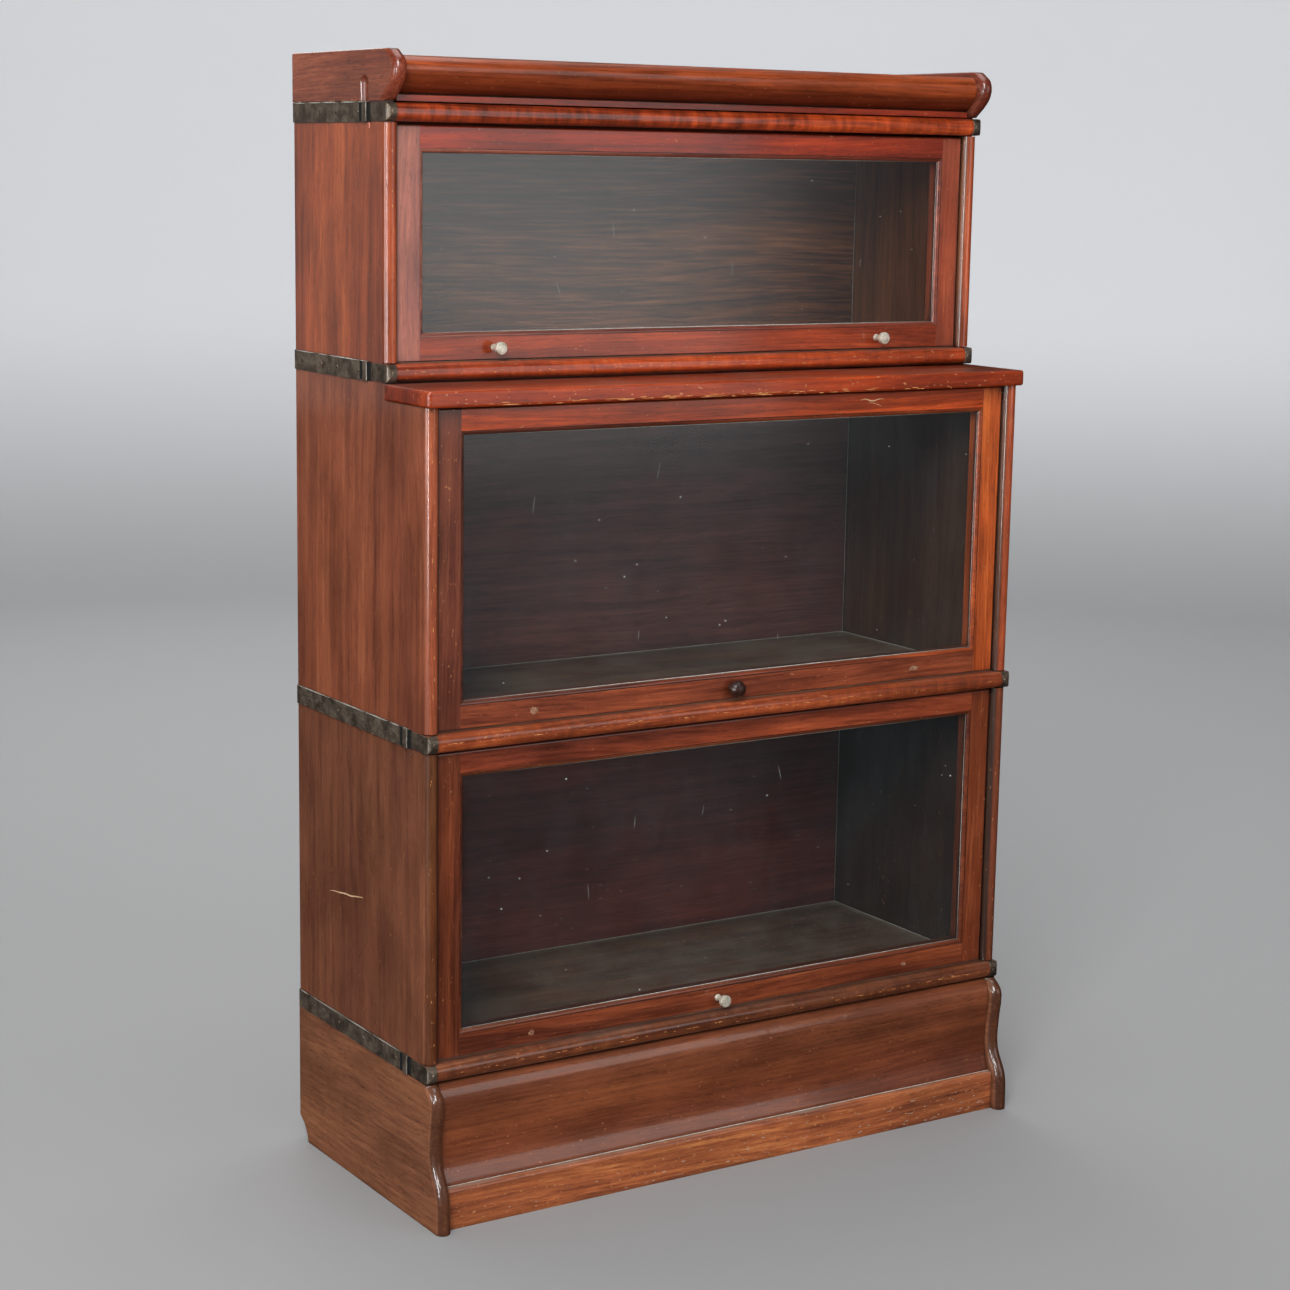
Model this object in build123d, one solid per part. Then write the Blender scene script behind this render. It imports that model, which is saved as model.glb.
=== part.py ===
from build123d import *
import os
from math import asin, cos, degrees, radians

# Sectional bookcase: a base, two deep glazed sections, one shallow glazed section and a cornice.
# Frame: +X to the right seen from the front, -Y towards the front, +Z up, origin under the middle
# of the bounding box. All sizes are millimetres. "Depth" counts forwards from the rear plane.

# ---- driving dimensions -----------------------------------------------------------------------
WIDTH = 865.0            # over the outer faces of the sections' sides
SIDE_T = 18.0            # thickness of every side board
REAR_Y = 190.75          # y of the rear plane
DEEP = 345.0             # depth of the two lower sections
SHALLOW = 243.0          # depth of the top section
NOSE_R = 8.8             # rounding of a side board's front edges

BASE_TOP = 176.5
MIDDLE_BOTTOM = 574.5
TOP_BOTTOM = 994.0
CORNICE_BOTTOM = 1291.0
CORNICE_TOP = 1373.0

RAIL_BACK = 12.0         # the front rail reaches this far behind a side's front edge
RAIL_NOSE = 5.5          # and stands this far in front of it
RAIL_LOW = 1.0           # rail's underside and top above the section's bottom
RAIL_HIGH = 22.5
RAIL_ROUND = 9.0
RAIL_END_ROUND = 5.0     # rounding of the rail's ends seen from above
RAIL_NOTCH = 1.0         # side board's foot is notched to this far below the door's foot
FLOOR_LOW = 5.0          # shelf board's underside and top above the section's bottom
FLOOR_HIGH = 23.5
BACK_T = 6.0

LEDGE_T = 19.5           # board covering the front of the deep middle section
LEDGE_BACK = 245.0
LEDGE_FRONT = 353.0
LEDGE_SIDE = 3.0         # overhang at each side
LEDGE_CORNER = 5.0
LEDGE_ROUND = 3.2

DOOR_W = 826.0
DOOR_T = 19.0
DOOR_SET_BACK = 10.5     # door face behind the sides' front edge
DOOR_FOOT = 24.5         # door's bottom edge above the section's bottom
DOOR_HEAD_GAP = 1.5
STILE_W = 30.0
RAIL_W = 27.0
BEAD_W = 5.0
GLASS_FRONT = 5.0        # depth of the glass behind the door's face
GLASS_T = 3.0
GLASS_PLAY = 0.3
LIP_GAP = 0.2            # between the glass and the lip behind it
HEAD_ROUND = 3.5         # rounding of the door's top front edge

PIVOT_DROP = 14.0        # hinge line below the door's top edge
PIVOT_IN = 8.0           # hinge line behind the door's face
PIN_R = 3.0
PIN_IN = 14.0            # pin's length inside the stile
PIN_OUT = 6.0            # and its reach past the side board's inner face
PIN_RUN = 0.05           # radial running clearance of a pin
GROOVE_D = 8.0           # runner groove in a side board
GROOVE_H = 12.0
GROOVE_NOSE = 9.5        # groove's front end ahead of the hinge line
RUNNER_T = 1.0
TAB_BACK = 8.0           # tabs that carry the lever pivots, in front of the rear plane
TAB_FRONT = 32.0
TAB_REACH = 9.0          # tab's end past the lever pivot
TAB_WEB = 1.2
WELD = 0.7               # overlap of tab and channel
SHOE_NOSE = 7.0
SHOE_PLAY = 0.3
BAR_BACK = 19.0          # carriage bar, measured behind the hinge line
BAR_W = 26.0
BAR_T = 6.0
LEVER_L = 790.0          # equaliser lever, pivot to pin
LEVER_X = 404.0          # lever pivots, left and right of the middle
LEVER_DEPTH = 20.0       # lever pivots in front of the rear plane
LEVER_W = 14.0
LEVER_T = 2.0
LEVER_GAP = 0.6
LEVER_PIN_R = 3.0
PIVOT_R = 2.5
SLOT_W = 9.2
SWAY = 1.15              # half of the levers' departure from an even stroke

BAND_H = 23.5
BAND_T = 1.6
CLIP_T = 1.2
CLIP_REACH = 36.0        # clip's rear end behind the side's front edge
CLIP_FRONT = 11.5        # clip's length along the rail's front
CLIP_INSET = 0.5         # clip's edges inside the rail's own
FOLD_BACK = 55.0
FOLD_FRONT = 44.0
FOLD_T = 3.6             # hook's outer face outside the side board
FOLD_ROUND = 1.9
CATCH_R = 5.0            # hollow in a side board's top edge that lets the clip unhook
CATCH_OUT = 3.5
CATCH_H = 7.0
NAIL_R = 2.2
NAIL_H = 0.9
SCREW_R = 2.8
SCREW_H = 1.0
SCREW_IN = 7.2           # clip screw's axis inside the side board's outer face

HALF = WIDTH / 2
INNER = HALF - SIDE_T
os.makedirs("parts", exist_ok=True)


# ---- general helpers --------------------------------------------------------------------------
def save(name, shapes):
    solids = []
    for shape in shapes:
        solids.extend(shape.solids())
    body = solids[0] if len(solids) == 1 else Compound(children=solids)
    export_step(body, f"parts/{name}.step")


def block(x0, x1, depth0, depth1, z0, z1):
    """Rectangular block between two depths in front of the rear plane."""
    size = (abs(x1 - x0), abs(depth1 - depth0), abs(z1 - z0))
    middle = ((x0 + x1) / 2, REAR_Y - (depth0 + depth1) / 2, (z0 + z1) / 2)
    return Pos(*middle) * Box(*size)


def prism(edges, x0, x1):
    """Extrude a closed (y, z) outline from x0 to x1."""
    face = Plane.YZ * make_face(edges)
    return Pos(x0, 0, 0) * extrude(face, amount=x1 - x0)


def outline(corners):
    """Closed straight outline from (depth, z) corners."""
    return Polyline(*[(REAR_Y - d, z) for d, z in corners], close=True)


def rod_x(x0, x1, radius, depth, z):
    rod = Rot(0, 90, 0) * Cylinder(radius, abs(x1 - x0))
    return Pos((x0 + x1) / 2, REAR_Y - depth, z) * rod


def rod_z(x, depth, z0, z1, radius):
    return Pos(x, REAR_Y - depth, (z0 + z1) / 2) * Cylinder(radius, z1 - z0)


def both_sides(shape):
    return [shape, mirror(shape, Plane.YZ)]


def round_front(board, front_limit, radius):
    """Round the two long front edges of a side board."""
    limit = REAR_Y - front_limit
    edges = []
    for edge in board.edges():
        box = edge.bounding_box()
        flat = box.max.X - box.min.X < 0.01
        if flat and box.max.Y < limit and box.max.Z - box.min.Z > 30:
            edges.append(edge)
    return fillet(edges, radius)


# ---- sections ---------------------------------------------------------------------------------
class Section:
    def __init__(self, name, bottom, top, depth, head, knobs):
        self.name = name
        self.bottom = bottom
        self.top = top
        self.depth = depth
        self.face = depth - DOOR_SET_BACK
        self.door_top = head - DOOR_HEAD_GAP
        self.door_foot = bottom + DOOR_FOOT
        self.pivot_z = self.door_top - PIVOT_DROP
        self.pivot_depth = self.face - PIVOT_IN
        self.knobs = knobs
        self.bar_mid = self.pivot_depth - BAR_BACK - BAR_W / 2
        self.travel = self.bar_mid - LEVER_DEPTH - SWAY
        self.lever_angle = degrees(asin(self.travel / LEVER_L))
        self.bar_low = self.pivot_z - GROOVE_H / 2 + RUNNER_T + SHOE_PLAY
        self.bar_high = self.bar_low + BAR_T
        self.low_lever = self.bar_low - LEVER_GAP - LEVER_T
        self.high_lever = self.bar_high + LEVER_GAP


def side_outline(s):
    """Side board seen from the side: notched at the foot for the rail, at the head for a ledge."""
    notch = s.bottom + DOOR_FOOT - RAIL_NOTCH
    corners = [(0, s.bottom), (s.depth - RAIL_BACK, s.bottom)]
    corners += [(s.depth - RAIL_BACK, notch), (s.depth, notch)]
    if s.name == "middle":
        corners += [(s.depth, s.top - LEDGE_T), (LEDGE_BACK, s.top - LEDGE_T)]
        corners += [(LEDGE_BACK, s.top)]
    else:
        corners += [(s.depth, s.top)]
    corners += [(0, s.top)]
    return outline(corners)


def left_side(s):
    board = prism(side_outline(s), -HALF, -INNER)
    board = round_front(board, s.depth - 5, NOSE_R)
    groove = block(-INNER - GROOVE_D, -INNER, 0, s.pivot_depth + GROOVE_NOSE,
                   s.pivot_z - GROOVE_H / 2, s.pivot_z + GROOVE_H / 2)
    catch_depth = s.depth - (CLIP_REACH + FOLD_FRONT) / 2
    catch = rod_z(-HALF - CATCH_OUT, catch_depth, s.top - CATCH_H, s.top, CATCH_R)
    return board - groove - catch


def right_side(s):
    return mirror(left_side(s), Plane.YZ)


def back_panel(s):
    return block(-INNER, INNER, 0, BACK_T, s.bottom, s.top)


def shelf_board(s):
    return block(-INNER, INNER, BACK_T, s.depth - RAIL_BACK, s.bottom + FLOOR_LOW, s.bottom + FLOOR_HIGH)


def nosing(bottom, depth, grow):
    """Half-round rail with rounded ends; grow thickens it all round for the metal clips."""
    low = bottom + RAIL_LOW - grow
    high = bottom + RAIL_HIGH + grow
    tall = high - low
    deep = RAIL_NOSE + RAIL_BACK + grow
    bar = Box(2 * (HALF + grow), deep, tall)
    long_edges = bar.edges().filter_by(Axis.X).group_by(Axis.Y)[0]
    bar = fillet(long_edges, RAIL_ROUND + grow)
    plan = Box(2 * (HALF + grow), deep, tall + 4)
    ends = plan.edges().filter_by(Axis.Z).group_by(Axis.Y)[0]
    plan = fillet(ends, RAIL_END_ROUND + grow)
    middle_depth = depth - RAIL_BACK + deep / 2
    return Pos(0, REAR_Y - middle_depth, (low + high) / 2) * (bar & plan)


def runners(s):
    """Steel channels in the grooves; each ends in a tab that carries one lever's pivot pin."""
    low = s.pivot_z - GROOVE_H / 2
    high = s.pivot_z + GROOVE_H / 2
    front = s.pivot_depth + GROOVE_NOSE
    out = -INNER - GROOVE_D
    channel = block(out, -INNER, BACK_T, front, low, high)
    channel -= block(out + RUNNER_T, -INNER, BACK_T, front, low + RUNNER_T, high - RUNNER_T)
    tab_high = s.low_lever - LEVER_GAP
    tab_low = tab_high - LEVER_T
    left = channel + block(-INNER, -INNER + TAB_WEB, TAB_BACK, TAB_FRONT, tab_low, low + WELD)
    left += block(-INNER, -LEVER_X + TAB_REACH, TAB_BACK, TAB_FRONT, tab_low, tab_high)
    left += rod_z(-LEVER_X, LEVER_DEPTH, tab_low, s.low_lever + LEVER_T, PIVOT_R)
    tab_low = high - WELD
    tab_high = tab_low + LEVER_T
    right = mirror(channel, Plane.YZ)
    right += block(INNER - TAB_WEB, INNER, TAB_BACK, TAB_FRONT, tab_low, tab_high)
    right += block(LEVER_X - TAB_REACH, INNER, TAB_BACK, TAB_FRONT, tab_low, tab_high)
    right += rod_z(LEVER_X, LEVER_DEPTH, s.high_lever, tab_high, PIVOT_R)
    return [left, right]


# ---- doors ------------------------------------------------------------------------------------
def door_block(s, x0, x1, in0, in1, z0, z1):
    """Block between two distances behind the door's face."""
    return block(x0, x1, s.face - in0, s.face - in1, z0, z1)


def round_head(s, piece):
    """Round the top front edge where a stile or the top rail reaches the door's head."""
    edges = []
    for edge in piece.edges().filter_by(Axis.X):
        middle = edge.center()
        if abs(middle.Z - s.door_top) < 0.01 and abs(middle.Y - (REAR_Y - s.face)) < 0.01:
            edges.append(edge)
    return fillet(edges, HEAD_ROUND)


def door_stiles(s):
    sight = DOOR_W / 2 - STILE_W
    low = s.door_foot + RAIL_W
    high = s.door_top - RAIL_W
    stile = round_head(s, door_block(s, sight, DOOR_W / 2, 0, DOOR_T, s.door_foot, s.door_top))
    lip = door_block(s, sight - BEAD_W, sight, GLASS_FRONT + GLASS_T + LIP_GAP, DOOR_T, low, high)
    hole = rod_x(DOOR_W / 2 - PIN_IN, DOOR_W / 2 + 1, PIN_R, s.pivot_depth, s.pivot_z)
    return both_sides(stile + lip - hole)


def door_rails(s):
    sight = DOOR_W / 2 - STILE_W
    low = s.door_foot + RAIL_W
    high = s.door_top - RAIL_W
    lip_in = GLASS_FRONT + GLASS_T + LIP_GAP
    foot = door_block(s, -sight, sight, 0, DOOR_T, s.door_foot, low)
    foot += door_block(s, -sight + BEAD_W, sight - BEAD_W, lip_in, DOOR_T, low, low + BEAD_W)
    head = round_head(s, door_block(s, -sight, sight, 0, DOOR_T, high, s.door_top))
    head += door_block(s, -sight + BEAD_W, sight - BEAD_W, lip_in, DOOR_T, high - BEAD_W, high)
    return [foot, head]


def door_glass(s):
    sight = DOOR_W / 2 - STILE_W - GLASS_PLAY
    low = s.door_foot + RAIL_W + GLASS_PLAY
    high = s.door_top - RAIL_W - GLASS_PLAY
    return door_block(s, -sight, sight, GLASS_FRONT, GLASS_FRONT + GLASS_T, low, high)


def glazing_beads(s):
    """Four mitred ovolo beads in front of the glass."""
    sight = DOOR_W / 2 - STILE_W
    low = s.door_foot + RAIL_W
    high = s.door_top - RAIL_W
    face_y = REAR_Y - s.face
    inside = [(0, 0.6), (3.6, 1.8), (BEAD_W, GLASS_FRONT - 0.6), (BEAD_W, GLASS_FRONT), (0, GLASS_FRONT)]

    def profile(place):
        points = [place(across, deep) for across, deep in inside]
        return make_face([ThreePointArc(*points[:3]), Polyline(*points[2:], points[0])])

    def mitred(bead, corners):
        gauge = extrude(Plane.XZ * make_face(Polyline(*corners, close=True)), amount=20, both=True)
        return bead & (Pos(0, face_y, 0) * gauge)

    beads = []
    for edge, inward in ((low, 1), (high, -1)):
        face = Plane.YZ * profile(lambda a, d: (face_y + d, edge + inward * a))
        bead = Pos(-sight, 0, 0) * extrude(face, amount=2 * sight)
        inner_edge = edge + inward * BEAD_W
        corners = [(-sight, edge), (sight, edge)]
        corners += [(sight - BEAD_W, inner_edge), (-sight + BEAD_W, inner_edge)]
        beads.append(mitred(bead, corners))
    for edge, inward in ((-sight, 1), (sight, -1)):
        face = profile(lambda a, d: (edge + inward * a, face_y + d))
        bead = Pos(0, 0, low) * extrude(face, amount=high - low)
        inner_edge = edge + inward * BEAD_W
        corners = [(edge, low), (edge, high), (inner_edge, high - BEAD_W), (inner_edge, low + BEAD_W)]
        beads.append(mitred(bead, corners))
    return beads


def turned_knob(s, x, half_profile):
    """Revolve (radius, distance in front of the door's face) about the knob's axis."""
    face = Plane.XZ * make_face(Polyline(*half_profile, close=True))
    knob = Rot(90, 0, 0) * revolve(face, Axis.Z)
    return Pos(x, REAR_Y - s.face, s.door_foot + RAIL_W / 2) * knob


NICKEL_KNOB = [(0, 0), (4.6, 0), (4.2, 1.2), (3.4, 2.4), (3.2, 11.5), (4.6, 12.8), (6.8, 13.2)]
NICKEL_KNOB += [(7.6, 14.2), (7.6, 18.6), (7.0, 19.6), (5.6, 20.0), (5.3, 19.4), (4.8, 19.4)]
NICKEL_KNOB += [(4.4, 20.2), (0, 20.4)]
WOODEN_KNOB = [(0, 0), (6.2, 0), (5.6, 1.6), (4.6, 4.0), (5.0, 6.0), (8.0, 7.4), (10.0, 9.4)]
WOODEN_KNOB += [(10.6, 12.0), (9.8, 15.0), (7.6, 17.6), (4.2, 19.2), (0, 19.8)]


def knobs(s):
    half_profile = WOODEN_KNOB if s.name == "middle" else NICKEL_KNOB
    return [turned_knob(s, x, half_profile) for x in s.knobs]


def pivot_pins(s):
    pin = rod_x(DOOR_W / 2 - PIN_IN, INNER + PIN_OUT, PIN_R, s.pivot_depth, s.pivot_z)
    return both_sides(pin)


# ---- carriage and equaliser levers ------------------------------------------------------------
def carriage(s):
    """Cross bar with a shoe at each end; the door's pins turn in the shoes."""
    end = INNER - 2 * SHOE_PLAY
    shoe_high = s.pivot_z + GROOVE_H / 2 - RUNNER_T - SHOE_PLAY
    back = s.bar_mid - BAR_W / 2
    bar = block(-end, end, back, s.bar_mid + BAR_W / 2, s.bar_low, s.bar_high)
    shoe_out = INNER + GROOVE_D - RUNNER_T - SHOE_PLAY
    shoe = block(end, shoe_out, back, s.pivot_depth + SHOE_NOSE, s.bar_low, shoe_high)
    shoe -= rod_x(end - 1, shoe_out + 1, PIN_R + PIN_RUN, s.pivot_depth, s.pivot_z)
    near = -LEVER_X + LEVER_L * cos(radians(s.lever_angle)) - LEVER_PIN_R - 1
    far = -LEVER_X + LEVER_L + LEVER_PIN_R + 1
    slot = block(near, far, s.bar_mid - SLOT_W / 2, s.bar_mid + SLOT_W / 2, s.bar_low - 1, s.bar_high + 1)
    body = bar + shoe + mirror(shoe, Plane.YZ)
    return body - slot - mirror(slot, Plane.YZ)


def lever(s, z0, pin_low, pin_high, flip):
    """Flat lever from a rear pivot to a pin in the carriage's far slot."""
    bar = Box(LEVER_L, LEVER_W, LEVER_T)
    flat = bar + Pos(-LEVER_L / 2, 0, 0) * Cylinder(LEVER_W / 2, LEVER_T)
    flat += Pos(LEVER_L / 2, 0, 0) * Cylinder(LEVER_W / 2, LEVER_T)
    flat -= Pos(-LEVER_L / 2, 0, 0) * Cylinder(PIVOT_R + PIN_RUN, LEVER_T * 3)
    flat = Pos(LEVER_L / 2, 0, z0 + LEVER_T / 2) * flat
    flat += Pos(LEVER_L, 0, (pin_low + pin_high) / 2) * Cylinder(LEVER_PIN_R, pin_high - pin_low)
    placed = Pos(-LEVER_X, REAR_Y - LEVER_DEPTH, 0) * (Rot(0, 0, -s.lever_angle) * flat)
    return mirror(placed, Plane.YZ) if flip else placed


def low_lever(s):
    return lever(s, s.low_lever, s.low_lever, s.bar_high - 0.3, False)


def high_lever(s):
    return lever(s, s.high_lever, s.bar_low + 0.3, s.high_lever + LEVER_T, True)


# ---- ledge ------------------------------------------------------------------------------------
def ledge_board():
    high = TOP_BOTTOM
    low = TOP_BOTTOM - LEDGE_T
    side = HALF + LEDGE_SIDE
    board = block(-side, side, LEDGE_BACK, LEDGE_FRONT, low, high)
    board = fillet(board.edges().filter_by(Axis.Z).group_by(Axis.Y)[0], LEDGE_CORNER)
    front = REAR_Y - LEDGE_BACK - 1
    rims = [e for e in board.edges() if e.center().Y < front and e.length > LEDGE_CORNER]
    rims = [e for e in rims if abs(e.bounding_box().max.Z - e.bounding_box().min.Z) < 0.01]
    return fillet(rims, LEDGE_ROUND)


# ---- base -------------------------------------------------------------------------------------
BASE_OVERHANG = 1.5
BASE_INSIDE = HALF + BASE_OVERHANG - SIDE_T
BASE_NOSE = [(349, 176.5), (358.5, 170), (364.5, 162), (366, 153), (365, 140), (362.5, 122), (361, 105)]
BASE_NOSE += [(361, 92), (363.5, 79), (369, 68), (375.5, 57), (379.5, 46), (381.2, 34), (381.5, 20)]
BASE_BOARD = [(342, 176.5), (350, 168), (353.5, 157), (354, 147), (352.5, 130), (350, 108), (349.5, 94)]
BASE_BOARD += [(350.5, 80), (353.5, 67), (357.5, 57), (359, 51)]
BASE_REST = [(381.5, 20), (381.5, 0), (24, 0), (22, 8), (14, 21), (0, 31), (0, BASE_TOP), (349, BASE_TOP)]
BASE_BOARD_BACK = 328.0
PLINTH_TOP = 51.0
PLINTH_BACK = 340.0
PLINTH_FRONT = 367.5
PLINTH_ROUND = 6.0
BACK_RAIL = (4.0, 22.0)  # depths of the base's back rail
BACK_RAIL_LOW = 60.0


def curve(points):
    return Spline(*[(REAR_Y - d, z) for d, z in points])


def straight(points):
    return Polyline(*[(REAR_Y - d, z) for d, z in points])


def base_left_side():
    """Side board with an ogee front edge and a rear foot cut away for a skirting board."""
    outer = -HALF - BASE_OVERHANG
    board = prism([curve(BASE_NOSE), straight(BASE_REST)], outer, outer + SIDE_T)
    return round_front(board, PLINTH_BACK, NOSE_R)


def base_right_side():
    return mirror(base_left_side(), Plane.YZ)


def base_front_board():
    rest = [BASE_BOARD[-1], (BASE_BOARD_BACK, PLINTH_TOP), (BASE_BOARD_BACK, BASE_TOP), BASE_BOARD[0]]
    return prism([curve(BASE_BOARD), straight(rest)], -BASE_INSIDE, BASE_INSIDE)


def base_plinth():
    strip = block(-BASE_INSIDE, BASE_INSIDE, PLINTH_BACK, PLINTH_FRONT, 0, PLINTH_TOP)
    top_front = strip.edges().filter_by(Axis.X).group_by(Axis.Y)[0].sort_by(Axis.Z)[-1]
    return fillet(top_front, PLINTH_ROUND)


def base_back_rail():
    return block(-BASE_INSIDE, BASE_INSIDE, *BACK_RAIL, BACK_RAIL_LOW, BASE_TOP)


# ---- cornice ----------------------------------------------------------------------------------
CORNICE_OVERHANG = 2.0
CORNICE_INSIDE = HALF + CORNICE_OVERHANG - SIDE_T
COLLAR = 1315.0          # the sides step out above this height
CORNICE_NOSE = [(243, COLLAR), (252, 1322), (261.5, 1330.5), (268.5, 1340), (271, 1350)]
CORNICE_NOSE += [(269.5, 1359), (265, 1365)]
CORNICE_REST = [(265, 1365), (256, 1371), (245, CORNICE_TOP), (0, CORNICE_TOP), (0, COLLAR), (243, COLLAR)]
RIM_ROUND = 2.0
MOULDING = [(234, 1323), (243, 1327), (251, 1335), (256.5, 1345), (257.5, 1354), (253, 1362), (246, 1366)]
MOULDING_BACK = 222.0
FILLET_FRONT = 239.0     # thin square fillet under the moulding
FILLET_TOP = 1322.0
SCOOP_R = 13.0           # finger scoop in the cornice's side over the clip
SCOOP_OUT = 8.0
SCOOP_DEPTH = 194.0
SCOOP_TOP = 1334.0
LID = (1348.0, 1364.0)   # heights of the top board
SOFFIT_T = 14.0
STRIP_T = 12.0


def cornice_left_side():
    outer = -HALF - CORNICE_OVERHANG
    board = prism([curve(CORNICE_NOSE), straight(CORNICE_REST)], outer, outer + SIDE_T)
    board = round_front(board, 235, NOSE_R)
    rims = [e for e in board.edges() if e.length > 100 and abs(e.center().Z - CORNICE_TOP) < 0.05]
    board = fillet(rims, RIM_ROUND)
    board += block(-HALF, outer + SIDE_T, 0, SHALLOW - RAIL_BACK, CORNICE_BOTTOM, COLLAR)
    scoop = rod_z(outer - SCOOP_OUT, SCOOP_DEPTH, COLLAR, SCOOP_TOP, SCOOP_R)
    scoop += Pos(outer - SCOOP_OUT, REAR_Y - SCOOP_DEPTH, SCOOP_TOP) * Sphere(SCOOP_R)
    return board - scoop


def cornice_moulding():
    """Convex front moulding over a thin square fillet."""
    rest = [MOULDING[-1], (MOULDING_BACK, MOULDING[-1][1]), (MOULDING_BACK, COLLAR)]
    rest += [(FILLET_FRONT, COLLAR), (FILLET_FRONT, FILLET_TOP), MOULDING[0]]
    return prism([curve(MOULDING), straight(rest)], -CORNICE_INSIDE, CORNICE_INSIDE)


def cornice_top_board():
    return block(-CORNICE_INSIDE, CORNICE_INSIDE, 0, MOULDING_BACK, *LID)


def cornice_soffit():
    low = CORNICE_BOTTOM + FLOOR_LOW
    return block(-CORNICE_INSIDE, CORNICE_INSIDE, STRIP_T, SHALLOW - RAIL_BACK, low, low + SOFFIT_T)


def cornice_back_strip():
    """Closes the back from the top section's back panel up to the top board."""
    return block(-CORNICE_INSIDE, CORNICE_INSIDE, 0, STRIP_T, CORNICE_BOTTOM, LID[0])


# ---- metal bands ------------------------------------------------------------------------------
BAND_LEVELS = [(BASE_TOP, DEEP), (MIDDLE_BOTTOM, DEEP), (TOP_BOTTOM, SHALLOW), (CORNICE_BOTTOM, SHALLOW)]
NAIL_SHARES = (0.12, 0.40, 0.63, 0.93)


def bands():
    """Strips along the sides at every joint, each with a folded hook at its front end."""
    pieces = []
    for bottom, depth in BAND_LEVELS:
        strip = block(-HALF - BAND_T, -HALF, 0, depth - FOLD_FRONT, bottom, bottom + BAND_H)
        hook = block(-HALF - FOLD_T, -HALF - BAND_T, depth - FOLD_BACK, depth - FOLD_FRONT,
                     bottom + CLIP_INSET, bottom + BAND_H - CLIP_INSET)
        hook = fillet(hook.edges().filter_by(Axis.Z).group_by(Axis.X)[0], FOLD_ROUND)
        pieces += both_sides(strip + hook)
    return pieces


def corner_clips():
    pieces = []
    for bottom, depth in BAND_LEVELS:
        shell = nosing(bottom, depth, CLIP_T) - nosing(bottom, depth, 0)
        low = bottom + RAIL_LOW + CLIP_INSET
        high = bottom + RAIL_HIGH - CLIP_INSET
        front = block(-HALF - 3, -HALF + CLIP_FRONT, depth - RAIL_BACK, depth + 12, low, high)
        plate = block(-HALF - CLIP_T, -HALF, depth - CLIP_REACH, depth - RAIL_BACK, low, high)
        pieces += both_sides((shell & front) + plate)
    return pieces


def fixing(radius, height):
    """Low round head standing on the plane z = 0."""
    head = Pos(0, 0, height / 2) * Cylinder(radius, height)
    return chamfer(head.edges().group_by(Axis.Z)[-1], height * 0.5)


def band_fixings():
    """Nails along the strips and one screw through the front of every clip."""
    nail = Rot(0, -90, 0) * fixing(NAIL_R, NAIL_H)
    screw = Rot(90, 0, 0) * fixing(SCREW_R, SCREW_H)
    pieces = []
    for bottom, depth in BAND_LEVELS:
        middle = bottom + (RAIL_LOW + RAIL_HIGH) / 2
        for share in NAIL_SHARES:
            nail_y = REAR_Y - share * (depth - FOLD_BACK)
            pieces += both_sides(Pos(-HALF - BAND_T, nail_y, middle) * nail)
        screw_y = REAR_Y - depth - RAIL_NOSE - CLIP_T
        pieces += both_sides(Pos(-HALF + SCREW_IN, screw_y, middle) * screw)
    return pieces


# ---- assembly ---------------------------------------------------------------------------------
LOWER = Section("lower", BASE_TOP, MIDDLE_BOTTOM, DEEP, MIDDLE_BOTTOM, [-12.0])
MIDDLE = Section("middle", MIDDLE_BOTTOM, TOP_BOTTOM, DEEP, TOP_BOTTOM - LEDGE_T, [0.0])
TOP = Section("top", TOP_BOTTOM, CORNICE_BOTTOM, SHALLOW, CORNICE_BOTTOM, [-284.0, 284.0])

for s in (LOWER, MIDDLE, TOP):
    save(f"{s.name}_side_left", [left_side(s)])
    save(f"{s.name}_side_right", [right_side(s)])
    save(f"{s.name}_back", [back_panel(s)])
    save(f"{s.name}_shelf", [shelf_board(s)])
    save(f"{s.name}_front_rail", [nosing(s.bottom, s.depth, 0)])
    save(f"{s.name}_runners", runners(s))
    save(f"{s.name}_door_stiles", door_stiles(s))
    save(f"{s.name}_door_rails", door_rails(s))
    save(f"{s.name}_door_glass", [door_glass(s)])
    save(f"{s.name}_door_beads", glazing_beads(s))
    save(f"{s.name}_door_knobs", knobs(s))
    save(f"{s.name}_door_pins", pivot_pins(s))
    save(f"{s.name}_carriage", [carriage(s)])
    save(f"{s.name}_lever_low", [low_lever(s)])
    save(f"{s.name}_lever_high", [high_lever(s)])

save("ledge_board", [ledge_board()])
save("base_side_left", [base_left_side()])
save("base_side_right", [base_right_side()])
save("base_front_board", [base_front_board()])
save("base_plinth", [base_plinth()])
save("base_back_rail", [base_back_rail()])
save("cornice_sides", both_sides(cornice_left_side()))
save("cornice_moulding", [cornice_moulding()])
save("cornice_top_board", [cornice_top_board()])
save("cornice_soffit", [cornice_soffit()])
save("cornice_back_strip", [cornice_back_strip()])
save("cornice_rail", [nosing(CORNICE_BOTTOM, SHALLOW, 0)])
save("bands", bands())
save("corner_clips", corner_clips())
save("band_fixings", band_fixings())
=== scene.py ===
import math
import random

import bmesh
import bpy
from mathutils import Matrix, Vector


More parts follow.
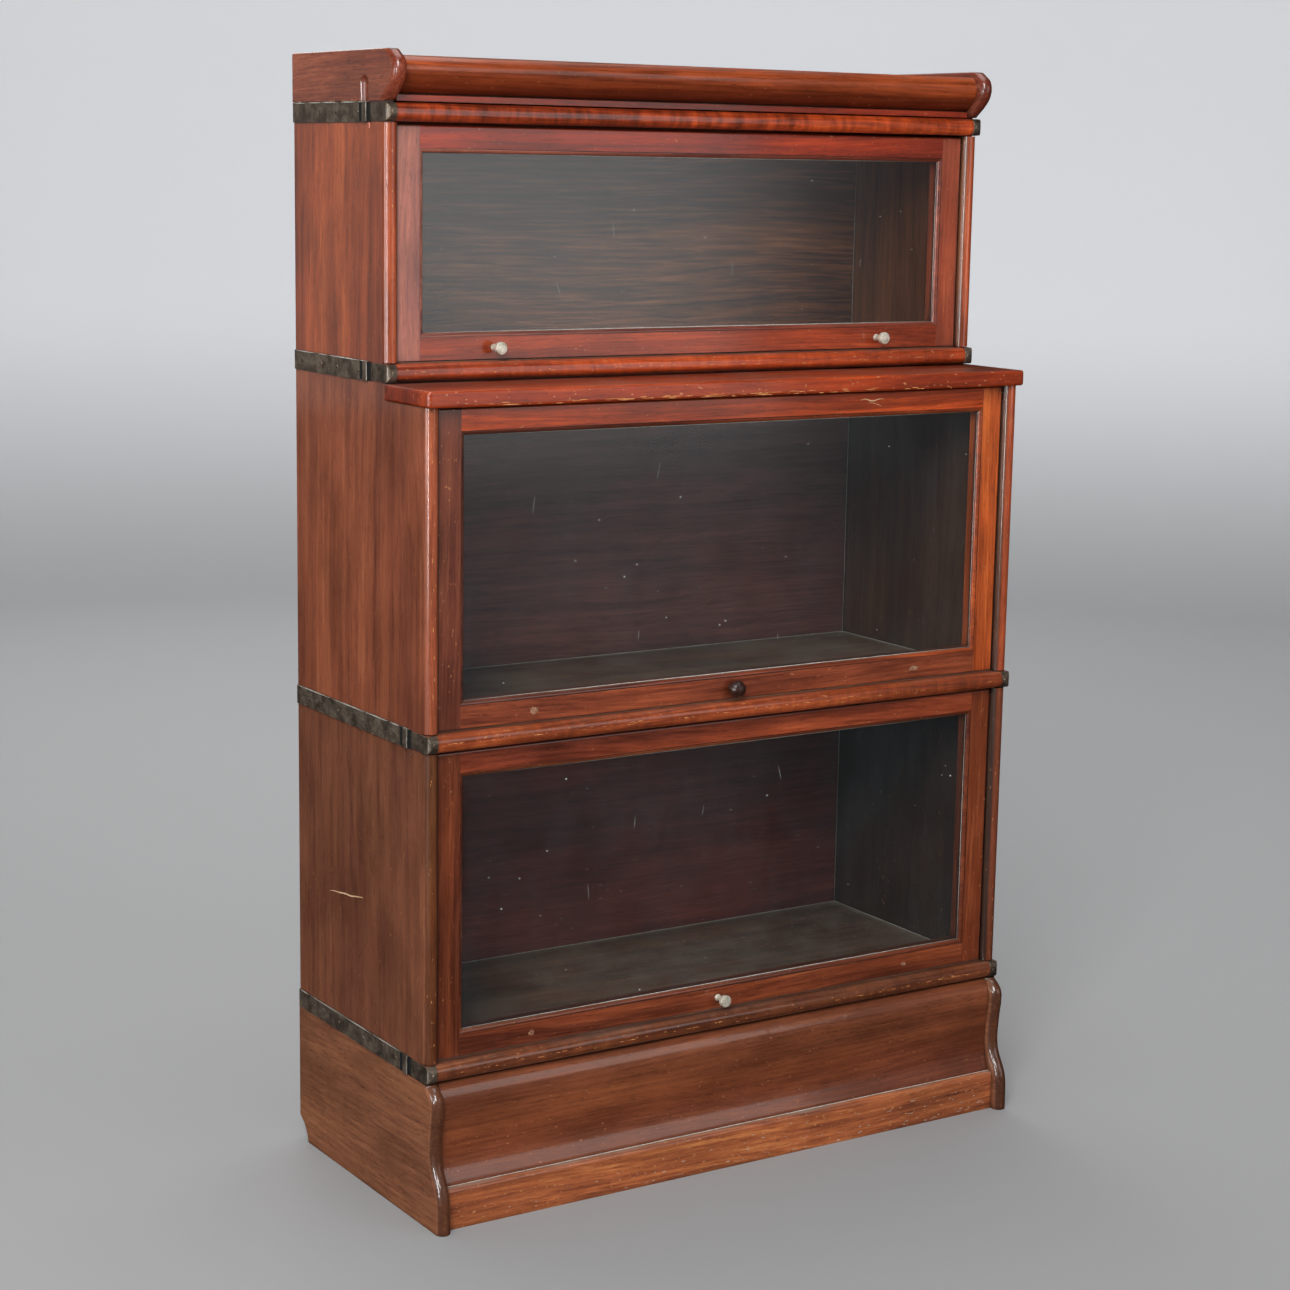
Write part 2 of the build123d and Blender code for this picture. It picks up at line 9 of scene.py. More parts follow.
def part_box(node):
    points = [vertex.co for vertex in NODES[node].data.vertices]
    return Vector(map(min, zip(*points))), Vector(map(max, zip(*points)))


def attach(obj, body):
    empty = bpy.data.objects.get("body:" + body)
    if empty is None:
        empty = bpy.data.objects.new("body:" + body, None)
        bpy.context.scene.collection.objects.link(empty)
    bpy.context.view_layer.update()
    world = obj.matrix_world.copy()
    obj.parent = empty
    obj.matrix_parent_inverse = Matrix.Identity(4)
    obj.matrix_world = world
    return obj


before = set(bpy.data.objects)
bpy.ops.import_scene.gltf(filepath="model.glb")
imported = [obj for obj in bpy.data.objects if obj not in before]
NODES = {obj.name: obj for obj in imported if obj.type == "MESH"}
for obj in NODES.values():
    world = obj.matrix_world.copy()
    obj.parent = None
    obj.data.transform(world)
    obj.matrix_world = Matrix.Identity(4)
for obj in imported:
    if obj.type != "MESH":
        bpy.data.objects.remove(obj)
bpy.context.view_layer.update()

# Sectional bookcase: materials for the imported parts, small wear and painted-light pieces, studio and
# camera.
# Everything is in metres in the imported model's frame: +X right, -Y towards the front, +Z up.

MM = 0.001
SECTIONS = ("lower", "middle", "top")
PLAIN = (1.0, 1.0, 1.0)      # a tint that changes nothing


# ---- colours ------------------------------------------------------------------------------------
def srgb(red, green, blue):
    """Linear RGBA from an 8-bit display colour."""
    channels = []
    for value in (red, green, blue):
        part = value / 255
        channels.append(part / 12.92 if part <= 0.04045 else ((part + 0.055) / 1.055) ** 2.4)
    return (*channels, 1.0)


def scaled(colour, factor):
    return (colour[0] * factor, colour[1] * factor, colour[2] * factor, 1.0)


# ---- node graphs --------------------------------------------------------------------------------
class Graph:
    """A material's node tree, with one short call per node."""

    def __init__(self, name):
        self.material = bpy.data.materials.new(name)
        self.material.use_nodes = True
        self.tree = self.material.node_tree
        self.tree.nodes.clear()
        self.coordinates = self.tree.nodes.new("ShaderNodeTexCoord")
        self.output = self.tree.nodes.new("ShaderNodeOutputMaterial")

    def feed(self, socket, value):
        if isinstance(value, bpy.types.NodeSocket):
            self.tree.links.new(value, socket)
        else:
            socket.default_value = value

    def add(self, kind, inputs, out=0, **settings):
        node = self.tree.nodes.new(kind)
        for key, value in settings.items():
            setattr(node, key, value)
        for key, value in inputs.items():
            self.feed(node.inputs[key], value)
        return node.outputs[out]

    def math(self, operation, a, b=0.0):
        return self.add("ShaderNodeMath", {0: a, 1: b}, operation=operation, use_clamp=False)

    def vector(self, operation, a, b, out=0):
        return self.add("ShaderNodeVectorMath", {0: a, 1: b}, out, operation=operation)

    def part(self, vector, axis):
        return self.add("ShaderNodeSeparateXYZ", {0: vector}, out="XYZ".index(axis))

    def step(self, value, low, high, start=0.0, end=1.0):
        """Smooth change from start to end while value goes from low to high."""
        ends = {"Value": value, "From Min": low, "From Max": high, "To Min": start, "To Max": end}
        return self.add("ShaderNodeMapRange", ends, interpolation_type="SMOOTHSTEP")

    def mix(self, share, a, b, blend="MIX"):
        sockets = {0: share, 6: a, 7: b}
        return self.add("ShaderNodeMix", sockets, 2, data_type="RGBA", blend_type=blend)

    def ramp(self, value, stops):
        node = self.tree.nodes.new("ShaderNodeValToRGB")
        elements = node.color_ramp.elements
        while len(elements) < len(stops):
            elements.new(1.0)
        for element, (position, colour) in zip(elements, stops):
            element.position = position
            element.color = colour
        self.feed(node.inputs[0], value)
        return node.outputs[0]

    def noise(self, vector, detail=2.0, roughness=0.5, distortion=0.0):
        settings = {"Vector": vector, "Scale": 1.0, "Detail": detail,
                    "Roughness": roughness, "Distortion": distortion}
        return self.add("ShaderNodeTexNoise", settings)

    def bump(self, height, strength, distance, normal=None):
        inputs = {"Height": height, "Strength": strength, "Distance": distance}
        if normal is not None:
            inputs["Normal"] = normal
        return self.add("ShaderNodeBump", inputs)

    def edges(self, radius):
        """Normal rounded over sharp edges, and how well it agrees with the true one."""
        geometry = self.tree.nodes.new("ShaderNodeNewGeometry")
        rounded = self.add("ShaderNodeBevel", {"Radius": radius}, samples=4)
        return rounded, self.vector("DOT_PRODUCT", rounded, geometry.outputs["Normal"], out=1)

    def surface(self, sockets):
        shader = self.add("ShaderNodeBsdfPrincipled", sockets)
        self.feed(self.output.inputs["Surface"], shader)
        return self.material


# ---- wood ---------------------------------------------------------------------------------------
def along(axis, across_rate, along_rate):
    """Noise rates per metre, slow along the grain and quick across it."""
    rates = [across_rate] * 3
    rates["XYZ".index(axis)] = along_rate
    return tuple(rates)


def wood(name, tones, grain, seed, gloss=0.36, coat=0.7, wear=0.5, dust=0.0, ribbon=1.0,
         contrast=1.2, ripple=0.0, streaks=0.0, specks=0.3, inside=None, nose=None, fades=(), shade_and_grime=0.75,
         corner_dust=0.0, bare=(190, 126, 80), rear_tones=None):
    """Stained and lacquered mahogany.

    tones: dark, middle, light and accent colours. grain: axis of the fibres. wear, specks: how far
    edges are rubbed and how many light nicks show. dust, corner_dust: film on faces that look up.
    inside, nose: tints of faces that look to the middle of the bookcase and to the front.
    fades: axis, low, high and the tints at both ends. rear_tones: other tones for faces looking back.
    """
    g = Graph(name)
    here = g.coordinates.outputs["Object"]
    facing = g.coordinates.outputs["Normal"]
    place = g.vector("ADD", here, (seed * 1.37, seed * 0.71, seed * 2.13))
    sway = g.noise(g.vector("MULTIPLY", place, along(grain, 5.0, 1.6)), detail=1.0)
    sway = g.math("MULTIPLY", g.math("SUBTRACT", sway, 0.5), 0.05)
    place = g.vector("ADD", place, g.add("ShaderNodeCombineXYZ", {0: sway, 1: sway, 2: sway}))

    board = g.noise(g.vector("MULTIPLY", place, along(grain, 8.0, 0.9)), detail=2.0)
    stripe = g.noise(g.vector("MULTIPLY", place, along(grain, 62.0, 1.7)), 3.0, 0.55, 0.3)
    fibre = g.noise(g.vector("MULTIPLY", place, along(grain, 300.0, 9.0)), 3.0, 0.6)
    pores = g.noise(g.vector("MULTIPLY", place, along(grain, 780.0, 60.0)), 1.0)
    blotch = g.noise(g.vector("MULTIPLY", place, along(grain, 13.0, 7.0)), 3.0, 0.6)

    tone = g.math("MULTIPLY", board, 0.34)
    tone = g.math("ADD", tone, g.math("MULTIPLY", stripe, 0.34 * ribbon))
    tone = g.math("ADD", tone, g.math("MULTIPLY", fibre, 0.32))
    tone = g.math("DIVIDE", tone, 0.66 + 0.34 * ribbon)
    for strength, across_rate, along_rate in ((ripple, 26.0, 95.0), (streaks, 230.0, 11.0)):
        if strength:
            waves = g.noise(g.vector("MULTIPLY", place, along(grain, across_rate, along_rate)),
                            2.0, 0.5, 0.6)
            waves = g.math("MULTIPLY", g.math("SUBTRACT", waves, 0.5), strength)
            tone = g.math("ADD", tone, waves)
    tone = g.math("ADD", g.math("MULTIPLY", tone, contrast), 0.52 * (1 - contrast))
    stops = [(0.34, tones[0]), (0.47, tones[1]), (0.58, tones[2]), (0.70, tones[3])]
    colour = g.ramp(tone, stops)
    if rear_tones is not None:
        rear = g.ramp(tone, [(0.34, rear_tones[0]), (0.47, rear_tones[1]), (0.58, rear_tones[2]),
                             (0.70, rear_tones[3])])
        colour = g.mix(g.step(g.part(facing, "Y"), 0.4, 0.8), colour, rear)
    dark_pores = g.step(pores, 0.58, 0.70, 0.0, 0.38)
    colour = g.mix(dark_pores, colour, scaled(tones[0], 0.35))
    depth = g.step(blotch, 0.3, 0.7, 0.80, 1.22)
    colour = g.mix(1.0, colour, g.add("ShaderNodeCombineXYZ", {0: depth, 1: depth, 2: depth}),
                   "MULTIPLY")

    for axis, start, end, tint_start, tint_end in fades:
        share = g.step(g.part(here, axis), start, end)
        colour = g.mix(1.0, colour, g.mix(share, (*tint_start, 1.0), (*tint_end, 1.0)), "MULTIPLY")
    if nose is not None:
        frontal = g.step(g.part(facing, "Y"), -0.15, -0.6)
        colour = g.mix(frontal, colour, g.mix(1.0, colour, (*nose, 1.0), "MULTIPLY"))
    if inside is not None:
        side = g.math("SIGN", g.part(here, "X"))
        inward = g.step(g.math("MULTIPLY", g.part(facing, "X"), side), -0.4, -0.8)
        colour = g.mix(inward, colour, g.mix(1.0, colour, (*inside, 1.0), "MULTIPLY"))

    rounded, agree = g.edges(1.3 * MM)
    edge = g.step(agree, 0.985, 0.86)
    chips = g.noise(g.vector("MULTIPLY", place, along(grain, 130.0, 34.0)), 5.0, 0.68)
    rubbed = g.math("MULTIPLY", edge, g.step(chips, 0.60 - 0.16 * wear, 0.74 - 0.12 * wear))
    colour = g.mix(g.math("MULTIPLY", rubbed, min(1.0, 0.35 + wear)), colour, srgb(*bare))
    nicks = g.noise(g.vector("MULTIPLY", place, along(grain, 330.0, 150.0)), 1.0)
    nicks = g.step(nicks, 0.74 - 0.07 * specks, 0.79 - 0.07 * specks, 0.0, min(1.0, 0.3 + specks))
    nicks = g.math("MULTIPLY", nicks, g.step(board, 0.40, 0.56, 0.35, 1.0))
    colour = g.mix(nicks, colour, srgb(*bare))

    # Painted shade and grime: ambient occlusion darkens corners, creases and the gaps between
    # parts towards a near-black brown.
    shade = g.add("ShaderNodeAmbientOcclusion", {"Distance": 14.0 * MM}, out=1, samples=4)
    shade_and_grime_mask = g.step(shade, 0.75, 0.25, 0.0, shade_and_grime)
    colour = g.mix(shade_and_grime_mask, colour, srgb(26, 15, 12))

    rough = g.step(fibre, 0.25, 0.8, gloss - 0.07, gloss + 0.11)
    if dust:
        up = g.step(g.part(facing, "Z"), 0.55, 0.95)
        film = g.noise(g.vector("MULTIPLY", place, (11.0, 11.0, 11.0)), 5.0, 0.65)
        grains = g.noise(g.vector("MULTIPLY", place, (310.0, 310.0, 310.0)), 1.0)
        film = g.math("MULTIPLY", g.step(film, 0.3, 0.75), dust)
        film = g.math("MAXIMUM", film, g.step(grains, 0.70, 0.76, 0.0, min(1.0, dust * 2.2)))
        if corner_dust:
            film = g.math("MAXIMUM", film, g.step(shade, 0.95, 0.6, 0.0, corner_dust))
        film = g.math("MULTIPLY", film, up)
        colour = g.mix(film, colour, srgb(148, 134, 120))
        rough = g.math("ADD", rough, g.math("MULTIPLY", film, 0.4))

    height = g.math("SUBTRACT", g.math("MULTIPLY", fibre, 0.6), g.math("MULTIPLY", dark_pores, 0.9))
    height = g.math("SUBTRACT", height, g.math("ADD", rubbed, nicks))
    normal = g.bump(height, 0.22, 0.25 * MM, rounded)
    slow = g.noise(g.vector("MULTIPLY", place, (9.0, 9.0, 9.0)), detail=1.0)
    normal = g.bump(slow, 0.12, 3.0 * MM, normal)
    return g.surface({"Base Color": colour, "Roughness": rough, "Normal": normal, "IOR": 1.5,
                      "Coat Weight": coat, "Coat Roughness": 0.10, "Specular IOR Level": 0.45})


def mahogany(red, green, blue):
    """Dark, middle, light and accent tones of the stain, multiplied channel by channel."""
    tones = []
    for tone in (srgb(92, 36, 22), srgb(138, 58, 33), srgb(168, 74, 40), srgb(198, 98, 54)):
        tones.append((tone[0] * red, tone[1] * green, tone[2] * blue, 1.0))
    return tones


def dress(names, material):
    for name in names:
        data = NODES[name].data
        data.materials.clear()
        data.materials.append(material)


# Stains and tints below multiply the base tones in linear red, green and blue.
STILE_MIDDLE = 0.38          # a door's side tints run from minus this x to plus this x
# Section stains are fitted to measured colour and carry painted light besides the tone: the sides
# grow lighter from the lower to the top section as if lit from above, their raised green and blue
# paint in a whitish sheen, and the inner faces are darkened as painted shade inside the case.
INNER_STAIN_AND_SHADE = {"lower": (0.24, 0.36, 0.45), "middle": (0.28, 0.48, 0.63), "top": (0.46, 0.78, 1.05)}
SIDE_STAIN_AND_LIGHT = {"lower": (0.70, 1.38, 2.1), "middle": (0.97, 1.58, 2.2), "top": (1.19, 1.42, 1.28)}
# Painted highlight and shade: the front-facing rounded edges, left and right, are tinted to the
# measured brightness, whiter on the top section's left nose and darker low down.
NOSE_HIGHLIGHT_AND_SHADE = {
    "lower": ((0.47, 0.38, 0.25), (0.80, 0.58, 0.48)),
    "middle": ((1.15, 0.95, 0.75), (1.45, 0.94, 0.57)),
    "top": ((1.0, 0.95, 1.05), (1.0, 0.85, 0.8)),
}
SIDE_CONTRASTS = {"lower": 0.8, "middle": 0.85, "top": 1.15}
# Painted light as for the sides: the front rails grow lighter from the lower to the top section.
RAIL_STAIN_AND_LIGHT = {"lower": (0.52, 0.81, 0.83), "middle": (0.88, 0.95, 0.71), "top": (1.18, 0.92, 0.54)}
# Tints at the left and right stile, and at the lower and upper rail, of every door.
# These tints are fitted to measured colour and paint in reflection and shade besides the tone:
# the darker upper rail of the top door.
# the whitish sheen on the top door's left stile, the brighter right stile of the middle door and
STILE_TONE_AND_PAINTED_LIGHT = {
    "lower": ((0.55, 0.68, 0.60), (0.72, 0.85, 0.73)),
    "middle": ((0.42, 0.57, 0.82), (1.36, 1.38, 0.70)),
    "top": ((1.17, 2.08, 3.9), (1.0, 1.1, 1.4)),
}
DOOR_RAIL_TONE_AND_PAINTED_LIGHT = {
    "lower": ((0.70, 0.87, 0.82), (0.79, 0.79, 0.69)),
    "middle": ((0.89, 1.1, 1.12), (1.39, 1.01, 0.27)),
    "top": ((1.0, 0.80, 0.50), (0.86, 0.43, 0.18)),
}
STILE_CONTRASTS = {"lower": 1.25, "middle": 1.35, "top": 1.0}
# Painted shade: each stile darkens over its outer edge, standing for the dark gap beside the sides.
DOOR_GAP_SHADE = (0.22, 0.20, 0.20)
DOOR_GAP_SHADE_WIDTH = 2.2 * MM         # painted shade of the gap beside a door's outer edges
SHELF_TONES = [srgb(76, 51, 41), srgb(108, 75, 60), srgb(129, 91, 71), srgb(154, 111, 84)]
for index, section in enumerate(SECTIONS):
    for hand, side in enumerate(("left", "right")):
        stain = wood(f"{section}_side_{side}_wood", mahogany(*SIDE_STAIN_AND_LIGHT[section]), "Z",
                     seed=11 + 7 * index + 3 * hand, inside=INNER_STAIN_AND_SHADE[section], wear=0.6, coat=0.9,
                     nose=NOSE_HIGHLIGHT_AND_SHADE[section][hand], contrast=SIDE_CONTRASTS[section])
        dress([f"{section}_side_{side}"], stain)
    dress([f"{section}_front_rail"],
          wood(f"{section}_rail_wood", mahogany(*RAIL_STAIN_AND_LIGHT[section]), "X", seed=41 + index,
               wear=0.9, dust=0.2, ripple=0.2, specks=0.6))
    low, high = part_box(f"{section}_door_stiles")
    dress([f"{section}_door_stiles"],
          wood(f"{section}_stile_wood", mahogany(*PLAIN), "Z", seed=51 + index, wear=0.45,
               contrast=STILE_CONTRASTS[section], specks=0.4,
               fades=[("X", -STILE_MIDDLE, STILE_MIDDLE, *STILE_TONE_AND_PAINTED_LIGHT[section]),
                      ("X", low.x, low.x + DOOR_GAP_SHADE_WIDTH, DOOR_GAP_SHADE, PLAIN),
                      ("X", high.x - DOOR_GAP_SHADE_WIDTH, high.x, PLAIN, DOOR_GAP_SHADE)]))
    low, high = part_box(f"{section}_door_rails")
    dress([f"{section}_door_rails"],
          wood(f"{section}_door_rail_wood", mahogany(*PLAIN), "X", seed=61 + index,
               wear=0.45, dust=0.1, contrast=1.35,
               fades=[("Z", low.z, high.z, *DOOR_RAIL_TONE_AND_PAINTED_LIGHT[section])]))
    # Painted shade: the beads are stained darker and take the full crevice darkening, standing for
    # the shade they lie in.
    dress([f"{section}_door_beads"],
          wood(f"{section}_bead_wood", mahogany(0.78, 0.75, 0.75), "X", seed=71 + index,
               wear=0.2, dust=0.3, shade_and_grime=1.0,
               fades=[("X", -STILE_MIDDLE, STILE_MIDDLE, *STILE_TONE_AND_PAINTED_LIGHT[section])]))
    dress([f"{section}_shelf"],
          wood(f"{section}_shelf_wood", SHELF_TONES, "X", seed=81 + index, gloss=0.6, coat=0.0,
               dust=0.55, wear=0.2, corner_dust=0.9, shade_and_grime=0.2))

# Seen from behind the back panels are plain boards; from inside each has its own tone.
REAR_TONES = [srgb(72, 44, 31), srgb(94, 58, 40), srgb(110, 69, 47), srgb(128, 82, 56)]
BACK_TONES = {
    "lower": [srgb(70, 30, 29), srgb(98, 45, 40), srgb(118, 56, 48), srgb(138, 70, 56)],
    "middle": [srgb(76, 45, 45), srgb(106, 64, 60), srgb(128, 78, 69), srgb(148, 94, 79)],
    "top": [srgb(36, 22, 17), srgb(76, 43, 30), srgb(126, 72, 43), srgb(160, 98, 58)],
}
for index, section in enumerate(SECTIONS):
    dress([f"{section}_back"],
          wood(f"{section}_back_wood", BACK_TONES[section], "X", seed=91 + index, gloss=0.55,
               coat=0.05, wear=0.2, shade_and_grime=0.3, specks=0.15, rear_tones=REAR_TONES,
               streaks=0.30 if section == "top" else 0.12,
               contrast=1.2 if section == "top" else 0.85))

dress(["ledge_board"],
      wood("ledge_wood", mahogany(0.91, 0.54, 0.12), "X", seed=101, wear=1.0, dust=0.3, specks=0.7,
           coat=0.5))
dress(["base_side_left", "base_side_right"],
      wood("base_side_wood", mahogany(0.97, 2.15, 3.1), "Y", seed=111, wear=0.3, ribbon=0.5,
           contrast=0.75, coat=1.0, nose=(0.36, 0.32, 0.3), specks=0.3))
low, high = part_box("base_front_board")
dress(["base_front_board"],
      wood("base_front_wood", mahogany(0.66, 0.99, 1.02), "X", seed=121, wear=0.4, contrast=0.75,
           coat=0.8, specks=0.32,
           fades=[("Z", low.z + 0.03, high.z - 0.03, (0.96, 0.93, 0.94), (1.04, 1.12, 1.17))]))
dress(["base_plinth"],
      wood("base_plinth_wood", mahogany(1.13, 1.78, 1.76), "X", seed=131, wear=1.0, dust=0.7,
           gloss=0.45, specks=0.85, contrast=1.6))
dress(["cornice_sides"],
      wood("cornice_side_wood", mahogany(0.73, 0.95, 1.33), "Y", seed=141, wear=0.5, ribbon=0.4,
           nose=(0.8, 0.62, 0.6), dust=0.2))
FILLET_TOP = 7.0 * MM        # top of the cornice moulding's foot fillet above its lower edge
low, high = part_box("cornice_moulding")
dress(["cornice_moulding"],
      wood("cornice_moulding_wood", mahogany(0.9, 0.8, 0.6), "X", seed=151, wear=0.5, dust=0.25,
           coat=0.45, shade_and_grime=0.25,
           # Painted light and shade: the moulding is tinted lighter towards its top and darker towards
           # its foot.
           fades=[("Z", low.z + 0.012, high.z - 0.008, (0.45, 0.37, 0.22), (1.57, 1.85, 1.4)),
                  ("Z", low.z + FILLET_TOP - 0.5 * MM, low.z + FILLET_TOP + 0.5 * MM, (2.3, 1.4, 0.4),
                   PLAIN)]))
dress(["cornice_rail"],
      wood("cornice_rail_wood", mahogany(1.2, 0.9, 0.45), "X", seed=161, wear=0.6, ripple=0.4))
dress(["cornice_top_board", "cornice_back_strip", "base_back_rail"],
      wood("plain_board_wood", mahogany(0.6, 0.75, 0.7), "X", seed=171, dust=0.45, gloss=0.55,
           coat=0.1))
dress(["cornice_soffit"],
      wood("soffit_wood", mahogany(0.55, 0.6, 0.6), "X", seed=181, gloss=0.6, coat=0.0))


# ---- metal, glass and knobs ---------------------------------------------------------------------
def metal(name, dark, bright, rough, scale, edge_light, metallic=1.0, rust=0.0):
    """Worn metal: patina in two tones, brighter rubbed edges, fine scratches."""
    g = Graph(name)
    place = g.coordinates.outputs["Object"]
    patina = g.noise(g.vector("MULTIPLY", place, (scale,) * 3), 4.0, 0.6)
    fine = g.noise(g.vector("MULTIPLY", place, (scale * 12, scale * 2.5, scale * 12)), 2.0)
    colour = g.mix(g.step(patina, 0.32, 0.68), dark, bright)
    if rust:
        spots = g.noise(g.vector("MULTIPLY", place, (scale * 1.7,) * 3), 4.0, 0.7)
        colour = g.mix(g.step(spots, 0.56, 0.68, 0.0, rust), colour, srgb(88, 52, 34))
    rounded, agree = g.edges(0.6 * MM)
    edge = g.math("MULTIPLY", g.step(agree, 0.99, 0.85), g.step(patina, 0.3, 0.6))
    colour = g.mix(g.math("MULTIPLY", edge, 0.7), colour, edge_light)
    roughness = g.step(fine, 0.3, 0.7, rough - 0.1, rough + 0.14)
    normal = g.bump(g.math("ADD", patina, g.math("MULTIPLY", fine, 0.3)), 0.12, 0.15 * MM, rounded)
    return g.surface({"Base Color": colour, "Metallic": metallic, "Roughness": roughness,
                      "Normal": normal})


def old_glass(name, seed, film_and_haze_colour):
    """Clear pane with a faint uneven film of dust, and lamp light passing through. The film also paints
    in reflected haze.
    """
    g = Graph(name)
    place = g.vector("ADD", g.coordinates.outputs["Object"], (seed, seed, seed))
    film = g.noise(g.vector("MULTIPLY", place, (7.0, 7.0, 5.0)), 5.0, 0.6, 0.4)
    wiped = g.noise(g.vector("MULTIPLY", place, (60.0, 60.0, 14.0)), 3.0, 0.6)
    film = g.math("MULTIPLY", g.step(film, 0.25, 0.8, 0.012, 0.030), g.step(wiped, 0.2, 0.8, 0.7, 1.2))
    clear = g.add("ShaderNodeBsdfTransparent", {"Color": (0.92, 0.94, 0.93, 1.0)})
    # Painted reflection: the diffuse film stands for dust and also for reflected haze.
    dust = g.add("ShaderNodeBsdfDiffuse", {"Color": film_and_haze_colour})
    pane = g.add("ShaderNodeMixShader", {0: film, 1: clear, 2: dust})
    shine = g.add("ShaderNodeBsdfGlossy", {"Color": (1.0, 1.0, 1.0, 1.0), "Roughness": 0.19})
    slant = g.add("ShaderNodeLayerWeight", {"Blend": 0.5}, out=1)
    mirror = g.math("ADD", g.math("MULTIPLY", g.math("POWER", slant, 5.0), 0.96), 0.045)
    shader = g.add("ShaderNodeMixShader", {0: mirror, 1: pane, 2: shine})
    g.feed(g.output.inputs["Surface"], shader)
    return g.material


def powder(name, colour, pale):
    """Dry matt matter: filler, dust, bare scratched wood."""
    g = Graph(name)
    place = g.coordinates.outputs["Object"]
    blotch = g.noise(g.vector("MULTIPLY", place, (240.0,) * 3), 4.0, 0.7)
    shown = g.mix(g.step(blotch, 0.3, 0.7), colour, pale)
    normal = g.bump(blotch, 0.4, 0.2 * MM)
    return g.surface({"Base Color": shown, "Roughness": g.step(blotch, 0.2, 0.8, 0.75, 0.95),
                      "Normal": normal})


band_metal = metal("band_patina", srgb(96, 84, 73), srgb(150, 134, 117), 0.5, 46.0,
                   srgb(186, 176, 160), metallic=0.75, rust=0.5)
dress(["bands"], band_metal)
clip_metal = metal("clip_patina", srgb(88, 76, 65), srgb(140, 124, 108), 0.46, 60.0,
                   srgb(190, 178, 160), metallic=0.8, rust=0.35)
dress(["corner_clips", "band_fixings"], clip_metal)
runner_metal = metal("runner_steel_dull", srgb(104, 102, 98), srgb(150, 148, 142), 0.42, 40.0,
                     srgb(200, 198, 190))
dress([f"{s}_{n}" for s in SECTIONS for n in ("runners", "lever_low", "lever_high", "door_pins")],
      runner_metal)
carriage = wood("carriage_wood_plain", mahogany(0.6, 0.7, 0.6), "X", seed=191, gloss=0.55, coat=0.1)
dress([f"{s}_carriage" for s in SECTIONS], carriage)
nickel = metal("knob_nickel_worn", srgb(186, 178, 158), srgb(236, 230, 214), 0.34, 150.0,
               srgb(240, 236, 222), metallic=0.35)
dress(["top_door_knobs", "lower_door_knobs"], nickel)
knob_tones = [srgb(30, 16, 12), srgb(48, 26, 20), srgb(62, 34, 26), srgb(78, 44, 32)]
dress(["middle_door_knobs"],
      wood("knob_dark_wood", knob_tones, "Y", seed=201, gloss=0.4, coat=0.4, wear=0.3))
# Film tints per section, partly a painted reflection of the surroundings.
FILM_AND_HAZE_COLOURS = {"lower": srgb(143, 164, 172), "middle": srgb(143, 164, 174), "top": srgb(176, 156, 156)}
for index, section in enumerate(SECTIONS):
    dress([f"{section}_door_glass"],
          old_glass(f"{section}_old_glass", 3.0 + index, FILM_AND_HAZE_COLOURS[section]))


# ---- small wear pieces, painted shade and painted highlights ------------------------------------
def new_piece(name, mesh_maker, material, body):
    mesh = bpy.data.meshes.new(name)
    bm = bmesh.new()
    mesh_maker(bm)
    bmesh.ops.recalc_face_normals(bm, faces=bm.faces)
    bm.to_mesh(mesh)
    bm.free()
    mesh.materials.append(material)
    obj = bpy.data.objects.new(name, mesh)
    bpy.context.scene.collection.objects.link(obj)
    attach(obj, body)
    return obj


def flake(bm, centre, right, up, length, width, rise, rng, points=9):
    """Low irregular chip on a surface spanned by right and up."""
    out = right.cross(up)
    foot = []
    crown = []
    for i in range(points):
        angle = 2 * math.pi * i / points
        reach = rng.uniform(0.7, 1.1)
        spot = right * (math.cos(angle) * length / 2) + up * (math.sin(angle) * width / 2)
        foot.append(bm.verts.new(centre + spot * reach - out * (0.05 * MM)))
        crown.append(bm.verts.new(centre + spot * reach * 0.72 + out * rise))
    for i in range(points):
        j = (i + 1) % points
        bm.faces.new((foot[i], foot[j], crown[j], crown[i]))
    bm.faces.new(crown)
    bm.faces.new(list(reversed(foot)))


def stroke(bm, points, out, width, rise):
    """Tapered ridge along a path, standing for one scratch."""
    rings = []
    last = len(points) - 1
    for i, point in enumerate(points):
        ahead = (points[min(i + 1, last)] - points[max(i - 1, 0)]).normalized()
        across = out.cross(ahead)
        half = width / 2 * (0.15 + 0.85 * math.sin(math.pi * (i + 0.4) / (last + 0.8)))
        rings.append([bm.verts.new(point - across * half - out * (0.05 * MM)),
                      bm.verts.new(point + out * rise),
                      bm.verts.new(point + across * half - out * (0.05 * MM))])
    for a, b in zip(rings, rings[1:]):
        for i in range(3):
            j = (i + 1) % 3
            bm.faces.new((a[i], a[j], b[j], b[i]))
    bm.faces.new(rings[0])
    bm.faces.new(list(reversed(rings[-1])))


X = Vector((1, 0, 0))
Y = Vector((0, 1, 0))
Z = Vector((0, 0, 1))
bare_wood = powder("bare_wood_scratch", srgb(206, 160, 112), srgb(232, 202, 160))
worn_wood = powder("bare_wood_worn", srgb(186, 104, 52), srgb(224, 160, 98))
filler = powder("knob_hole_filler", srgb(116, 70, 50), srgb(172, 128, 98))
dust_matter = powder("dust_grains", srgb(150, 146, 136), srgb(206, 202, 192))
# Painted shade: near-black matter for the gaps, joints and slots below that stand in shade.
dark_slot = powder("painted_slot_shade", srgb(7, 6, 5), srgb(18, 15, 13))
speck_matter = powder("glass_speck_matter", srgb(138, 138, 132), srgb(206, 204, 196))


